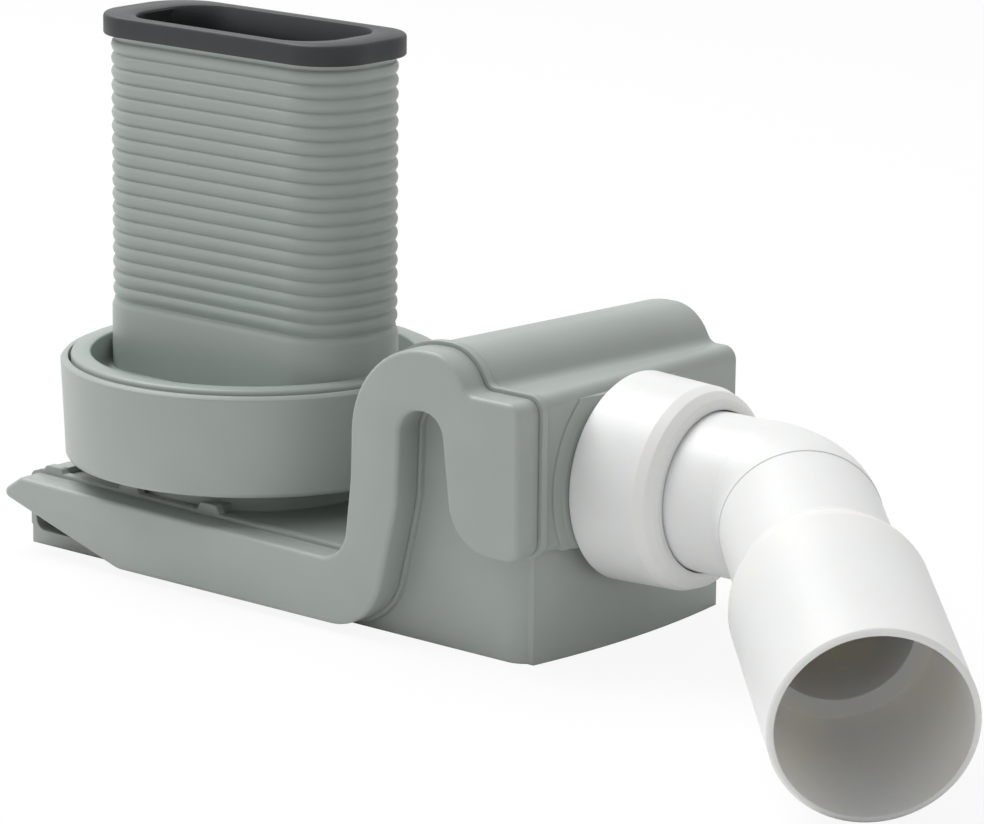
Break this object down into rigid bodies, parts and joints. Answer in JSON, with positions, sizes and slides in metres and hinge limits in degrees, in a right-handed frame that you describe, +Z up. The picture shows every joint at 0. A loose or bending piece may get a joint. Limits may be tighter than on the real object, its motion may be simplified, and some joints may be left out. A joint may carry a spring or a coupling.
{
  "type": "shower channel trap",
  "caption": "Flat shower channel trap: grey housing with a round cup, ribbed flat-oval inlet spigot with a rubber rim, union nut and white 45 degree outlet elbow.",
  "frame": {"origin": "where the inlet axis meets the plane the foot stands on", "axes": "+X along the housing towards the outlet, +Y away from the welded side cover, +Z up the inlet spigot"},
  "size_m": [0.41, 0.1833, 0.1784],
  "materials": {
    "housing_plastic": "moulded, satin",
    "insert_plastic": "moulded, satin",
    "white_plastic": "moulded, satin",
    "black_rubber": "matte"
  },
  "bodies": {
    "root": {"trap_housing": "housing_plastic", "side_cover": "housing_plastic", "inlet_insert": "insert_plastic", "lip_seal": "black_rubber", "rim_seal": "black_rubber", "outlet_seal": "black_rubber", "slip_ring": "white_plastic", "union_nut": "white_plastic", "outlet_elbow": "white_plastic"}
  },
  "joints": []
}
